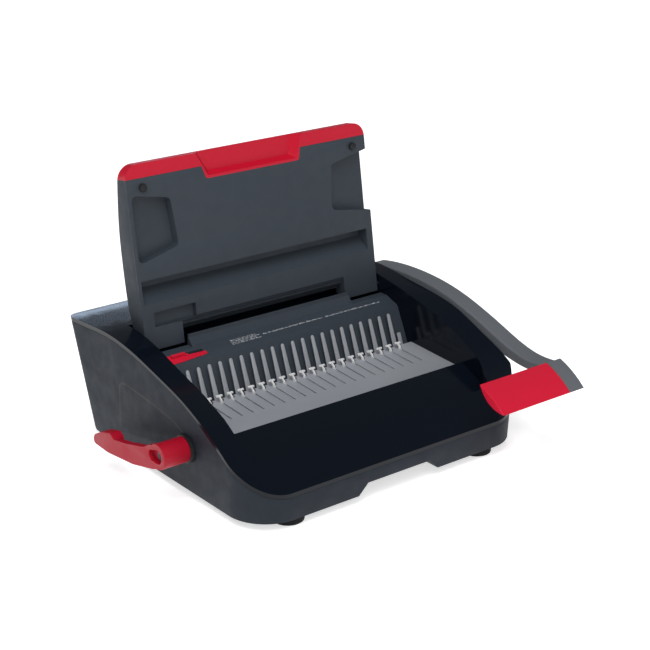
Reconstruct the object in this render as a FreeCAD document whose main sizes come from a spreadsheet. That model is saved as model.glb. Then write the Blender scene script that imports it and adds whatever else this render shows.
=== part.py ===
import FreeCAD, Part
import math
import os
import Sketcher
from FreeCAD import Placement, Rotation, Vector

os.makedirs("parts", exist_ok=True)
doc = FreeCAD.newDocument("comb_binding_machine")

# ---------------------------------------------------------------- driving dimensions (mm)
# X runs along the comb with 0 at its middle, Y runs from front to back with 0 at the tine tips,
# Z is the height above the table. frame_dx and frame_dy move everything to the row's origin.
DIMS = {
    "frame_dx": 6.0, "frame_dy": 42.62,
    # comb
    "pitch": 14.2875, "rings": 21, "tine_len": 39.0, "tine_foot_w": 6.4, "tine_tip_w": 4.4,
    "tine_t": 1.5, "tine_lean": 21.0, "foot_y": -14.0, "foot_z": 77.5,
    # comb plate and the carriage under it, both inclined
    "slope": 3.4, "plate_half": 167.0, "plate_len": 89.4, "plate_t": 1.5, "slot_w": 2.0,
    "slot_len": 49.0, "hook_pl_top": -3.0, "hook_pl_t": 1.5,
    # housing
    "floor": 10.0, "wall": 3.0, "half_low": 188.4, "half_high": 199.2, "loft_top": 170.0,
    "front": -190.0, "back_low": 135.0, "back_high": 171.9, "r_front": 48.0, "r_back": 16.0,
    "gap": 0.2, "open_half": 167.0, "open_front": -105.0, "seat_half": 167.0, "seat_front": -155.0,
    "trough_back": 80.0,
    "channel_x": 190.5, "rim_x": 163.0, "channel_deep": 22.0,
    # punch module
    "lip_y": 39.4, "lip_top": 136.6, "lip_half": 114.1, "throat_front": 41.6, "throat_back": 46.0,
    "die_low": 80.0, "die_top": 116.0,
    "die_t": 4.0, "pin_z": 100.0, "pin_w": 8.0, "pin_h": 3.0, "pin_clear": 0.15,
    "bar_y": 66.0, "bar_d": 10.0, "bar_half": 158.0,
    "frame_x": 181.0, "frame_t": 2.5,
    "shaft_y": 96.0, "shaft_z": 92.0, "shaft_r": 4.5, "crank_r": 9.0, "roller_r": 3.5,
    # lid
    "lid_py": 50.0, "lid_pz": 134.0, "lid_tilt": 8.7, "lid_half": 165.0, "lid_len": 197.5,
    "lid_face": -3.0, "block_in": 115.0, "block_low": -8.6, "lid_cut": 12.4, "lid_edge": 18.8,
    "skirt_r": 11.6, "skirt_low": 4.0,
    "lid_pin_r": 2.5, "run_clear": 0.06,
    # punch lever
    "arm_in": 192.0, "arm_out": 215.5, "grip_in": 92.0, "grip_split": 194.0,
    # comb lever
    "comb_y": -72.5, "comb_z": 62.5, "comb_r": 4.0, "hub_out": -229.5, "hub_in": -197.5,
    "pinion_r": 16.0, "module": 1.6, "teeth": 20, "rack_in": 173.5, "rack_out": 179.0,
    # chip tray and feet
    "tray_half": 140.0, "tray_front": 6.0, "tray_top": 44.0, "foot_r": 17.5, "foot_x": 133.0,
    "foot_front": -168.0, "foot_back": 84.0,
}

sheet = doc.addObject("Spreadsheet::Sheet", "Dims")
for row, (alias, value) in enumerate(DIMS.items(), start=1):
    sheet.set("A%d" % row, alias)
    sheet.set("B%d" % row, str(value))
    sheet.setAlias("B%d" % row, alias)
doc.recompute()


def dim(alias):
    return float(sheet.get(alias))


def ex(text):
    """Put every known alias of a plain expression into sheet form."""
    words = []
    token = ""
    for ch in text + " ":
        if ch.isalnum() or ch == "_":
            token += ch
            continue
        words.append("Dims." + token if token in DIMS else token)
        words.append(ch)
        token = ""
    return "".join(words).strip()


nodes = {}


def keep(name, obj):
    obj.Label = name
    nodes[name] = obj
    return obj


# ---------------------------------------------------------------- helpers for Part objects
def box(name, x0, x1, y0, y1, z0, z1):
    b = doc.addObject("Part::Box", name)
    b.setExpression("Length", ex("(%s) - (%s)" % (x1, x0)))
    b.setExpression("Width", ex("(%s) - (%s)" % (y1, y0)))
    b.setExpression("Height", ex("(%s) - (%s)" % (z1, z0)))
    b.setExpression("Placement.Base.x", ex("(%s) + frame_dx" % x0))
    b.setExpression("Placement.Base.y", ex("(%s) + frame_dy" % y0))
    b.setExpression("Placement.Base.z", ex(z0))
    return b


def rod(name, x0, x1, y, z, r):
    """A cylinder along X from x0 to x1."""
    c = doc.addObject("Part::Cylinder", name)
    c.setExpression("Radius", ex(r))
    c.setExpression("Height", ex("(%s) - (%s)" % (x1, x0)))
    c.Placement = Placement(Vector(0, 0, 0), Rotation(Vector(0, 1, 0), 90))
    c.setExpression("Placement.Base.x", ex("(%s) + frame_dx" % x0))
    c.setExpression("Placement.Base.y", ex("(%s) + frame_dy" % y))
    c.setExpression("Placement.Base.z", ex(z))
    return c


def post(name, x, y, z0, z1, r):
    """A cylinder along Z from z0 to z1."""
    c = doc.addObject("Part::Cylinder", name)
    c.setExpression("Radius", ex(r))
    c.setExpression("Height", ex("(%s) - (%s)" % (z1, z0)))
    c.setExpression("Placement.Base.x", ex("(%s) + frame_dx" % x))
    c.setExpression("Placement.Base.y", ex("(%s) + frame_dy" % y))
    c.setExpression("Placement.Base.z", ex(z0))
    return c


def fuse(name, shapes):
    f = doc.addObject("Part::MultiFuse", name)
    f.Shapes = shapes
    f.Refine = True
    return f


def group(name, shapes):
    g = doc.addObject("Part::Compound", name)
    g.Links = shapes
    return g


# ---------------------------------------------------------------- helpers for PartDesign bodies
def body_at(name, x, y, z, turn="0"):
    """A body placed in the row frame and turned about X by the given angle."""
    b = doc.addObject("PartDesign::Body", name)
    b.Placement = Placement(Vector(0, 0, 0), Rotation(Vector(1, 0, 0), 1))
    b.setExpression("Placement.Base.x", ex("(%s) + frame_dx" % x))
    b.setExpression("Placement.Base.y", ex("(%s) + frame_dy" % y))
    b.setExpression("Placement.Base.z", ex(z))
    b.setExpression("Placement.Rotation.Angle", ex(turn))
    return b


def plane_of(body, role):
    for feature in body.Origin.OriginFeatures:
        if feature.Role == role:
            return feature
    raise RuntimeError(role)


def outline(body, name, role, points, shift="0"):
    """A closed polygon sketch whose vertices are bound to the sheet."""
    sk = body.newObject("Sketcher::SketchObject", name)
    sk.AttachmentSupport = [(plane_of(body, role), "")]
    sk.MapMode = "FlatFace"
    sk.setExpression("AttachmentOffset.Base.z", ex(shift))
    add_loop(sk, points)
    return sk


def add_loop(sk, points):
    first = sk.GeometryCount
    count = len(points)
    start = [Vector(evaluate(x), evaluate(y), 0) for x, y in points]
    for i in range(count):
        sk.addGeometry(Part.LineSegment(start[i], start[(i + 1) % count]))
    for i in range(count):
        sk.addConstraint(Sketcher.Constraint("Coincident", first + i, 2, first + (i + 1) % count, 1))
    for i, (x, y) in enumerate(points):
        for kind, text, value in (("DistanceX", x, start[i].x), ("DistanceY", y, start[i].y)):
            if abs(value) < 1e-9:
                axis = -2 if kind == "DistanceX" else -1
                sk.addConstraint(Sketcher.Constraint("PointOnObject", first + i, 1, axis))
                continue
            c = sk.addConstraint(Sketcher.Constraint(kind, -1, 1, first + i, 1, value))
            sk.setExpression("Constraints[%d]" % c, ex(text))


def evaluate(text):
    scope = FreeCAD.ActiveDocument.getObject("Dims")
    return float(scope.evalExpression(ex(text)))


def pad(body, name, sketch, length, midplane=False, back=False):
    p = body.newObject("PartDesign::Pad", name)
    p.Profile = sketch
    p.setExpression("Length", ex(length))
    p.Midplane = midplane
    p.Reversed = back
    body.Tip = p
    return p


def pocket(body, name, sketch, length, midplane=True):
    p = body.newObject("PartDesign::Pocket", name)
    p.Profile = sketch
    p.setExpression("Length", ex(length))
    p.Midplane = midplane
    body.Tip = p
    return p


def repeat(body, name, features, role, step, count):
    """Repeat features along an axis of the body, count times, step apart."""
    r = body.newObject("PartDesign::LinearPattern", name)
    r.Originals = features
    r.Direction = (plane_of(body, role), [""])
    r.setExpression("Length", ex("(%s) * ((%s) - 1)" % (step, count)))
    r.setExpression("Occurrences", ex(count))
    body.Tip = r
    return r


def rect(x0, x1, y0, y1):
    return [(x0, y0), (x1, y0), (x1, y1), (x0, y1)]


# ================================================================ housing
# Crown of the side rims and the parting line under it, as (y, height) pairs.
PARTING = [(180, 134), (164, 137), (110, 141.4), (79.5, 143), (44, 140.5), (6, 133.5),
           (-33, 123.2), (-66.5, 113.2), (-88.4, 103.9), (-106.3, 94.6), (-124, 83.5), (-137, 74.5),
           (-150, 64.5), (-163, 55), (-176, 45.5), (-186, 38.5), (-200, 30)]
SEAT = [(60, 141), (50, 137.2), (-104, 80), (-125, 70.5), (-143, 61.5), (-160, 53)]
CROWN_RISE = 5.0
# The rims beside the comb are twisted ramps between two side lines, each given as (y, height).
RIGHT_IN = [(44, 145.5), (6, 138.5), (-24, 131.4), (-46, 125.6), (-73, 118), (-96, 109), (-128, 91.5),
            (-152, 72), (-176, 52.5), (-188, 43), (-200, 35)]
RIGHT_OUT = [(44, 145.5), (6, 141), (-24, 138), (-46, 135), (-73, 128.5), (-96, 119.5), (-128, 106.5),
             (-152, 95.5), (-172, 80), (-186, 58), (-200, 35)]
LEFT_IN = [(44, 145.5), (15, 139), (-14, 129.9), (-42, 121.9), (-66.5, 114.8), (-88.4, 106.6),
           (-106.3, 99.6)]
LEFT_OUT = [(44, 145.5), (6, 138.5), (-33, 128.2), (-66.5, 118.2), (-88.4, 108.9), (-106.3, 99.6)]
FRAME = Vector(dim("frame_dx"), dim("frame_dy"), 0)


def smooth_yz(points, rise):
    """A smooth curve in the YZ plane through (y, height) pairs, raised by rise."""
    curve = Part.BSplineCurve()
    curve.interpolate([Vector(0, y, z + rise) for y, z in points])
    return curve.toShape()


def under(points, rise, x0, x1, smooth=True):
    """The space below a profile, from x0 to x1 along X."""
    if smooth:
        top = smooth_yz(points, rise)
    else:
        top = Part.makePolygon([Vector(0, y, z + rise) for y, z in points])
    first = Vector(0, points[0][0], points[0][1] + rise)
    last = Vector(0, points[-1][0], points[-1][1] + rise)
    rest = Part.makePolygon([last, Vector(0, last.y, -20), Vector(0, first.y, -20), first])
    face = Part.Face(Part.Wire(Part.__sortEdges__(top.Edges + rest.Edges)))
    face.translate(Vector(x0, 0, 0))
    return face.extrude(Vector(x1 - x0, 0, 0))


def over(points, rise, x0, x1, smooth=True):
    """The space above a profile, from x0 to x1 along X."""
    low, high = points[-1][0], points[0][0]
    block = Part.makeBox(x1 - x0, high - low, 400, Vector(x0, low, -10))
    return block.cut(under(points, rise, x0 - 1, x1 + 1, smooth))


def slab(x0, x1, y0, y1, z0, z1):
    return Part.makeBox(x1 - x0, y1 - y0, z1 - z0, Vector(x0, y0, z0))


def plan_ring(half, y0, y1, z, rf, rb):
    """A rectangle in plan with its front and back corners rounded."""
    s = math.sqrt(0.5)
    p = [Vector(-half + rf, y0, z), Vector(half - rf, y0, z), Vector(half, y0 + rf, z),
         Vector(half, y1 - rb, z), Vector(half - rb, y1, z), Vector(-half + rb, y1, z),
         Vector(-half, y1 - rb, z), Vector(-half, y0 + rf, z)]
    m = [Vector(half - rf + rf * s, y0 + rf - rf * s, z), Vector(half - rb + rb * s, y1 - rb + rb * s, z),
         Vector(-half + rb - rb * s, y1 - rb + rb * s, z), Vector(-half + rf - rf * s, y0 + rf - rf * s, z)]
    edges = []
    for i in range(4):
        edges.append(Part.makeLine(p[2 * i], p[2 * i + 1]))
        edges.append(Part.Arc(p[2 * i + 1], m[i], p[(2 * i + 2) % 8]).toShape())
    return Part.Wire(edges)


def hull_of(inset):
    """The drafted outside of the housing, or the same surface moved inward."""
    low = plan_ring(dim("half_low") - inset, dim("front") + inset, dim("back_low") - inset, 0,
                    dim("r_front") - inset, dim("r_back") - inset)
    high = plan_ring(dim("half_high") - inset, dim("front") + inset, dim("back_high") - inset,
                     dim("loft_top"), dim("r_front") - inset, dim("r_back") - inset)
    return Part.makeLoft([low, high], True, True)


def tail(inset):
    """The raised underside at the rear of the housing, as a wedge to remove."""
    pts = [Vector(-300, 104 - inset, 0), Vector(-300, 240, 0), Vector(-300, 240, 64),
           Vector(-300, 147 - inset, 34 + inset), Vector(-300, 138 - inset, 20 + inset),
           Vector(-300, 124 - inset, dim("floor") + 2 + inset), Vector(-300, 104 - inset, dim("floor"))]
    return Part.Face(Part.makePolygon(pts + [pts[0]])).extrude(Vector(600, 0, 0))


def seat_space(inset):
    """The recess in the crown that the closed lid lies in."""
    grow = dim("seat_half") + inset
    foot = Part.Face(plan_ring(grow, dim("seat_front") - inset, dim("trough_back") + inset, 0,
                               23 + inset, 0.5 + inset))
    return foot.extrude(Vector(0, 0, 300)).common(over(SEAT, -inset, -grow - 1, grow + 1, False))


def ramp(x_in, inner_line, x_out, outer_line, inset):
    """The space under a ruled surface between two smooth side lines."""
    wires = []
    for x, points in ((x_in, inner_line), (x_out, outer_line)):
        top = Part.BSplineCurve()
        top.interpolate([Vector(x, y, z - inset) for y, z in points])
        start, end = top.value(top.FirstParameter), top.value(top.LastParameter)
        rest = Part.makePolygon([end, Vector(x, end.y, -20), Vector(x, start.y, -20), start])
        wires.append(Part.Wire(Part.__sortEdges__([top.toShape()] + rest.Edges)))
    return Part.makeLoft(wires, True, True)


def crown_space(inset):
    """Everything below the crown, with the ramps of the two side rims in place of it there."""
    x, rear, low = dim("rim_x"), RIGHT_IN[0][0], LEFT_IN[-1][0]
    level = CROWN_RISE - inset
    space = under(PARTING, level, -x, x)
    space = space.fuse(under(PARTING, level, x, 300).common(slab(x, 300, rear, 300, -30, 300)))
    left = under(PARTING, level, -300, -x)
    space = space.fuse(left.common(slab(-300, -x, rear, 300, -30, 300)))
    space = space.fuse(left.common(slab(-300, -x, -300, low, -30, 300)))
    space = space.fuse(ramp(x, RIGHT_IN, dim("channel_x") - inset, RIGHT_OUT, inset))
    space = space.fuse(ramp(-x, LEFT_IN, -205, LEFT_OUT, inset))
    return space.fuse(under(PARTING, -12 - inset, dim("channel_x") - inset, 300))


def rounded(points, radius):
    """A closed plane wire through the given corners, each rounded as far as its sides allow."""
    corners = []
    count = len(points)
    for i in range(count):
        back = points[i - 1] - points[i]
        ahead = points[(i + 1) % count] - points[i]
        half = back.getAngle(ahead) / 2
        reach = min(radius / math.tan(half), back.Length * 0.45, ahead.Length * 0.45)
        back.normalize()
        ahead.normalize()
        inward = back + ahead
        inward.normalize()
        depth = reach / math.cos(half) - reach * math.tan(half)
        corners.append((points[i] + back * reach, points[i] + inward * depth, points[i] + ahead * reach))
    edges = []
    for i, (start, middle, end) in enumerate(corners):
        edges.append(Part.Arc(start, middle, end).toShape())
        edges.append(Part.makeLine(end, corners[(i + 1) % count][0]))
    return Part.Wire(edges)


def edges_at_x(shape, *values):
    """Edges that lie wholly in one of the given planes across X."""
    found = []
    for edge in shape.Edges:
        bb = edge.BoundBox
        if any(abs(bb.XMin - v) < 1e-3 and abs(bb.XMax - v) < 1e-3 for v in values):
            found.append(edge)
    return found


def arm_space(inset):
    """The channel along the right side that the punch lever lies in, deeper round its hub."""
    x = dim("channel_x") - inset
    track = over(PARTING, CROWN_RISE - dim("channel_deep") - inset, x, 300)
    hub = Part.makeCylinder(57 + inset, 300 - x, Vector(x, dim("shaft_y"), dim("shaft_z")), Vector(1, 0, 0))
    return track.fuse(hub.common(slab(x, 300, -300, 300, 84 - inset, 300)))


def outside_and_inside():
    t = dim("wall")
    outer = hull_of(0).common(crown_space(0))
    outer = outer.cut(seat_space(0)).cut(arm_space(0)).cut(tail(0))
    outer = outer.cut(slab(-300, 300, -300, 300, -20, dim("floor")))
    inner = hull_of(t).common(crown_space(t))
    inner = inner.cut(seat_space(t)).cut(arm_space(t)).cut(tail(t))
    inner = inner.cut(slab(-300, 300, -300, 300, -20, dim("floor") + t))
    return outer, inner


outer, inner = outside_and_inside()
shell = outer.cut(inner)


def placed(name, shape):
    """A node whose shape is made in code, in the row frame."""
    f = doc.addObject("Part::Feature", name)
    f.Shape = shape.removeSplitter() if shape.ShapeType != "Compound" else shape
    f.Placement = Placement(FRAME, Rotation())
    return keep(name, f)


def largest(shape):
    return max(shape.Solids, key=lambda s: s.Volume)


def x_bore(x0, x1, y, z, r):
    return Part.makeCylinder(r, x1 - x0, Vector(x0, y, z), Vector(1, 0, 0))


def panel_bar(points, x0, x1):
    """A prism along X with the given (y, height) outline."""
    ring = [Vector(x0, y, z) for y, z in points]
    return Part.Face(Part.makePolygon(ring + [ring[0]])).extrude(Vector(x1 - x0, 0, 0))


oh, of_, sh = dim("open_half"), dim("open_front"), dim("seat_half")
well = slab(-oh, oh, of_, 46, -1, 300)
trough = slab(-sh, sh, 44, dim("trough_back"), -1, 300)

# ---- top cover: skin above the parting line, with the walls of the comb well hanging from it
column = Part.Face(plan_ring(sh + 3.1, dim("seat_front") - 3.1, dim("trough_back") + 3.1, 30, 26, 3.6))
column = column.extrude(Vector(0, 0, 300))
cover = shell.common(over(PARTING, dim("gap"), -300, 300).fuse(column))
well_walls = slab(-oh - 1.8, -oh, of_, 37, 0, 300).fuse(slab(oh, oh + 1.8, of_, 37, 0, 300))
plate_top = [(60, dim("foot_z") + 2.6), (-130, dim("foot_z") - 8.6)]
well_walls = well_walls.cut(under(plate_top, 0, -300, 300, False))
well_walls = well_walls.fuse(slab(-oh - 1.8, oh + 1.8, of_ - 2, of_, 66, 300))
well_walls = well_walls.common(under(SEAT, -0.5, -300, 300, False))
well_walls = well_walls.common(slab(-200, 200, -120, 40, 0, 300))
trough_walls = slab(-sh - 3, -sh, 30, dim("trough_back") + 3, 118, 143)
trough_walls = trough_walls.fuse(slab(sh, sh + 3, 30, dim("trough_back") + 3, 118, 143))
trough_walls = trough_walls.fuse(slab(-sh - 3, sh + 3, dim("trough_back"), dim("trough_back") + 3, 116, 144))
for x0, x1 in ((-sh, -117), (117, sh)):
    trough_walls = trough_walls.fuse(slab(x0, x1, 46.4, dim("trough_back"), 116.4, 118.2))
    trough_walls = trough_walls.fuse(slab(x0 - 1 if x0 < 0 else x1 - 1, x0 + 1 if x0 < 0 else x1 + 1,
                                          46.4, dim("trough_back"), 116.4, 120))
cover = cover.cut(well).cut(trough).fuse(well_walls).fuse(trough_walls)
for side in (-1, 1):
    x = side * (sh + 1.5)
    cover = cover.cut(x_bore(x - 3, x + 3, dim("lid_py"), dim("lid_pz"), dim("lid_pin_r")))
cover = largest(cover)
placed("top_cover", cover)

# ---- base housing: everything below the parting line
base = shell.common(under(PARTING, -dim("gap"), -300, 300)).cut(column)
relief = Part.makePolygon([Vector(-66, -200, 0), Vector(-43, -200, 22), Vector(43, -200, 22),
                           Vector(66, -200, 0), Vector(-66, -200, 0)])
relief = Part.Face(relief).extrude(Vector(0, 60, 0))
lifted = Part.makePolygon([Vector(-69, -188, 10.5), Vector(-45, -188, 24.5), Vector(45, -188, 24.5),
                           Vector(69, -188, 10.5), Vector(-69, -188, 10.5)])
lifted = Part.Face(lifted).extrude(Vector(0, 51, 0))
base = base.fuse(lifted).cut(relief)
th, tt = dim("tray_half"), dim("tray_top")
tray_hole = slab(-th - 1, th + 1, 110, 200, 13, tt + 1)
tray_skin = base.common(slab(-th, th, 120, 200, 14, tt))
base = base.cut(tray_hole)
base = base.cut(x_bore(-210, -180, dim("comb_y"), dim("comb_z"), 6.0))
base = base.cut(x_bore(180, 210, dim("shaft_y"), dim("shaft_z"), 6.0))
for fx in (-dim("foot_x"), dim("foot_x")):
    for fy in (dim("foot_front"), dim("foot_back")):
        base = base.cut(Part.makeCylinder(2.0, 20, Vector(fx, fy, 5), Vector(0, 0, 1)))
base = largest(base)
placed("base_housing", base)

# ---- chip tray: a drawer whose face closes the opening in the back wall
face_piece = max(tray_skin.Solids, key=lambda s: s.BoundBox.YMax + s.BoundBox.ZMax * 0.1)
tub = slab(-th + 2, th - 2, dim("tray_front"), 133, 14, 40).cut(
    slab(-th + 4, th - 4, dim("tray_front") + 2, 131, 16, 60))
links = slab(-th + 2, th - 2, 131, 160, 20, 22).fuse(slab(-th + 2, th - 2, 131, 160, 38, 40))
cup = slab(-35, 35, 131, 160, 22, 38)
tray = face_piece.fuse(tub.fuse(links).fuse(cup).common(outer))
tray = largest(tray.cut(slab(-33, 33, 134.5, 170, 24, 36)))
placed("chip_tray", tray)

# ================================================================ comb plate, tines and hooks
HALF_COMB = "(pitch * (rings - 1) / 2)"
plate = body_at("comb_plate", "0", "foot_y", "foot_z", "slope")
p0 = outline(plate, "PlateOutline", "XY_Plane", rect("-plate_half", "plate_half", "-plate_len", "-1.6"),
             "-plate_t")
pad(plate, "PlatePad", p0, "plate_t")
p1 = outline(plate, "PlateSlot", "XY_Plane",
             [("-%s - slot_w / 2" % HALF_COMB, "-slot_len"), ("-%s + slot_w / 2" % HALF_COMB, "-slot_len"),
              ("-%s + slot_w / 2" % HALF_COMB, "-11.5"), ("-%s + 6.2" % HALF_COMB, "-5.0"),
              ("-%s + 6.2" % HALF_COMB, "0.5"), ("-%s - 4.4" % HALF_COMB, "0.5"),
              ("-%s - 4.4" % HALF_COMB, "-5.6"), ("-%s - slot_w / 2" % HALF_COMB, "-9.0")])
slot = pocket(plate, "SlotPocket", p1, "4")
repeat(plate, "SlotRow", [slot], "X_Axis", "pitch", "rings")
p2 = outline(plate, "PlateFront", "XY_Plane",
             rect("-plate_half", "plate_half", "-plate_len - 1.5", "-plate_len"), "-9")
pad(plate, "FrontLip", p2, "9")
keep("comb_plate", plate)

tines = body_at("comb_tines", "0", "foot_y", "foot_z", "-tine_lean")
t0 = outline(tines, "RootStrip", "XZ_Plane", rect("-plate_half", "plate_half", "-14", "-3"))
pad(tines, "RootPad", t0, "tine_t", midplane=True)
t1 = outline(tines, "Tine", "XZ_Plane",
             [("-%s - tine_foot_w / 2" % HALF_COMB, "-4"), ("-%s + tine_foot_w / 2" % HALF_COMB, "-4"),
              ("-%s + tine_foot_w / 2" % HALF_COMB, "0.01"),
              ("-%s + tine_tip_w / 2" % HALF_COMB, "tine_len - 1.6"),
              ("-%s + tine_tip_w / 4" % HALF_COMB, "tine_len"),
              ("-%s - tine_tip_w / 4" % HALF_COMB, "tine_len"),
              ("-%s - tine_tip_w / 2" % HALF_COMB, "tine_len - 1.6"),
              ("-%s - tine_foot_w / 2" % HALF_COMB, "0.01")])
tine = pad(tines, "TinePad", t1, "tine_t", midplane=True)
repeat(tines, "TineRow", [tine], "X_Axis", "pitch", "rings")
t2 = outline(tines, "EndTine", "XZ_Plane", rect("149.6", "154.8", "-4", "14"))
pad(tines, "EndTinePad", t2, "tine_t", midplane=True)
keep("comb_tines", tines)

hooks = body_at("hook_plate", "0", "foot_y", "foot_z", "slope")
h0 = outline(hooks, "HookBase", "XY_Plane", rect("-rack_in + 2", "rack_in - 2", "-46", "-4"),
             "hook_pl_top - hook_pl_t")
pad(hooks, "HookBasePad", h0, "hook_pl_t")
h1 = outline(hooks, "HookStem", "YZ_Plane",
             [("-10.4", "hook_pl_top - 0.5"), ("-7.0", "hook_pl_top - 0.5"), ("-7.0", "1.2"), ("-2.6", "4.0"),
              ("-2.6", "5.6"), ("-4.6", "5.6"), ("-10.4", "2.0")], "-%s - 0.7" % HALF_COMB)
stem = pad(hooks, "HookStemPad", h1, "1.4")
h2 = outline(hooks, "HookBar", "XY_Plane",
             rect("-%s - 3.6" % HALF_COMB, "-%s + 4.2" % HALF_COMB, "-5.0", "-2.6"), "4.0")
bar = pad(hooks, "HookBarPad", h2, "1.6")
repeat(hooks, "HookRow", [stem, bar], "X_Axis", "pitch", "rings")
keep("hook_plate", hooks)


# ---- rack and pinion at each end of the hook carriage
def involute_gear(module, teeth, thickness, backlash=0.5):
    """A spur gear about the X axis with 20 degree involute flanks."""
    rp = module * teeth / 2.0
    alpha = math.radians(20)
    rb = rp * math.cos(alpha)
    ra = rp + module * 0.9
    rf = rp - module * 1.2
    half = math.pi / (2 * teeth) - backlash / (2 * rp)
    inv_p = math.tan(alpha) - alpha
    flank = []
    for i in range(6):
        r = max(rb, rf) + (ra - max(rb, rf)) * i / 5.0
        a = math.acos(min(1.0, rb / r))
        flank.append((r, half + inv_p - (math.tan(a) - a)))
    points = []
    for k in range(teeth):
        mid = 2 * math.pi * k / teeth
        ring = [(rf, -flank[0][1])] + [(r, -t) for r, t in flank] + [(r, t) for r, t in reversed(flank)]
        ring.append((rf, flank[0][1]))
        points += [Vector(0, r * math.cos(mid + t), r * math.sin(mid + t)) for r, t in ring]
    face = Part.Face(Part.makePolygon(points + [points[0]]))
    return face.extrude(Vector(thickness, 0, 0))


def carriage_side(side):
    """The web beside the well wall with its toothed rack, in the inclined frame."""
    m = dim("module")
    slope = math.radians(dim("slope"))
    dy = dim("comb_y") - dim("foot_y")
    dz = dim("comb_z") - dim("foot_z")
    axis_y = dy * math.cos(slope) + dz * math.sin(slope)
    axis_z = -dy * math.sin(slope) + dz * math.cos(slope)
    line = axis_z + dim("pinion_r")
    pitch = math.pi * m
    y0 = axis_y - 14
    y1 = axis_y + dim("pinion_r") * math.radians(100) + 14
    bar = slab(0, dim("rack_out") - dim("rack_in"), y0, y1, line + m * 1.3, line + m * 1.3 + 6)
    low = line - m * 0.9
    high = line + m * 1.4
    wide_low = pitch / 4 - 0.9 * m * math.tan(math.radians(20)) - 0.1
    wide_high = pitch / 4 + 1.4 * m * math.tan(math.radians(20)) - 0.1
    n = -4
    while axis_y + (n + 0.5) * pitch + wide_high < y1:
        c = axis_y + (n + 0.5) * pitch
        n += 1
        if c - wide_high < y0:
            continue
        pts = [Vector(0, c - wide_low, low), Vector(0, c + wide_low, low),
               Vector(0, c + wide_high, high), Vector(0, c - wide_high, high)]
        tooth = Part.Face(Part.makePolygon(pts + [pts[0]])).extrude(
            Vector(dim("rack_out") - dim("rack_in"), 0, 0))
        bar = bar.fuse(tooth)
    web = slab(-2, 0, y0, y1, line + m * 1.3, line + m * 1.3 + 6)
    web = web.fuse(slab(-2, 0, -44, -6, dim("hook_pl_top") - 1.5, line + m * 1.3 + 6))
    piece = bar.fuse(web)
    if side < 0:
        piece = piece.mirror(Vector(0, 0, 0), Vector(1, 0, 0))
        piece.translate(Vector(-dim("rack_in"), 0, 0))
    else:
        piece.translate(Vector(dim("rack_in"), 0, 0))
    return piece.removeSplitter()


racks = doc.addObject("Part::Feature", "hook_racks")
racks.Shape = Part.makeCompound([carriage_side(-1), carriage_side(1)])
racks.Placement = Placement(FRAME + Vector(0, dim("foot_y"), dim("foot_z")),
                            Rotation(Vector(1, 0, 0), dim("slope")))
keep("hook_racks", racks)

gear = involute_gear(dim("module"), int(dim("teeth")), dim("rack_out") - dim("rack_in"))
gear.rotate(Vector(0, 0, 0), Vector(1, 0, 0), 90 + dim("slope"))
gear = gear.cut(x_bore(-1, 10, 0, 0, dim("comb_r")))
pair = []
for x in (-dim("rack_out"), dim("rack_in")):
    g = gear.copy()
    g.translate(Vector(x, dim("comb_y"), dim("comb_z")))
    pair.append(g)
placed("comb_pinions", Part.makeCompound(pair))

# ---- comb lever on the left with its shaft
keep("comb_shaft", rod("CombShaft", "hub_in - 22", "186", "comb_y", "comb_z", "comb_r"))

hub_y, hub_z = dim("comb_y"), dim("comb_z")
LEVER_ARM = [(-60, 73), (-46, 64.5), (-12, 55.4), (8, 51.6), (30, 48), (50, 43.6), (58.5, 39), (57.5, 31.4),
             (29.5, 30), (-23, 35.7), (-62, 45), (-80, 52), (-80, 70)]
LEVER_PAD = [(14, 50), (23, 55), (43, 49.4), (56, 42.5), (59, 37), (57.5, 31.4), (40, 30.6), (20, 40)]


def lever_part(points, x0, x1, radius):
    outline_wire = rounded([Vector(x0, y, z) for y, z in points], radius)
    return Part.Face(outline_wire).extrude(Vector(x1 - x0, 0, 0))


lever_face = dim("hub_out")
lever = lever_part(LEVER_ARM, lever_face, lever_face + 7.5, 12)
lever = lever.fuse(lever_part(LEVER_PAD, lever_face, lever_face + 13, 3.5))
lever = lever.fuse(x_bore(lever_face, dim("hub_in"), hub_y, hub_z, 14.0)).removeSplitter()
dish = x_bore(lever_face - 1, lever_face + 5.5, hub_y, hub_z, 8.0)
dish = dish.fuse(x_bore(lever_face - 1, lever_face + 5.5, hub_y + 10, hub_z - 1.5, 6.5))
dish = dish.fuse(panel_bar([(hub_y, hub_z + 8), (hub_y + 10, hub_z + 5), (hub_y + 10, hub_z - 8),
                            (hub_y, hub_z - 8)], lever_face - 1, lever_face + 5.5))
lever = lever.cut(dish)
lever = lever.cut(x_bore(dim("hub_in") - 22, dim("hub_in") + 1, hub_y, hub_z, dim("comb_r")))
lever = lever.cut(x_bore(-225, -218, hub_y, hub_z, 2.2))
placed("comb_lever", largest(lever))
screw = x_bore(-226, -224, hub_y, hub_z, 4.6).fuse(x_bore(-224, -219.5, hub_y, hub_z, 2.0))
screw = screw.cut(slab(-227, -225.2, hub_y - 0.6, hub_y + 0.6, hub_z - 5, hub_z + 5))
placed("lever_screw", screw)
collar = x_bore(-197.3, -191.5, hub_y, hub_z, 16.0).cut(hull_of(-0.05)).cut(
    x_bore(-220, -180, hub_y, hub_z, dim("comb_r") + 0.5))
placed("lever_collar", largest(collar))

# ================================================================ punch module
# ---- slanted panel, ridge, strip and centre lip, one moulding of even thickness
face_line = [(-11.0, 72.0), (9.3, 115.6), (11.8, 117.6), (32.0, 124.5), (33.6, 124.9), (39.4, 133.0)]
back_line = [(39.4, 129.5), (33.5, 121.9), (13.0, 114.9), (-7.8, 72.0)]
panel_half = oh - 0.6
lip_half, lip_back = dim("lip_half"), dim("throat_front") - 0.1


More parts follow.
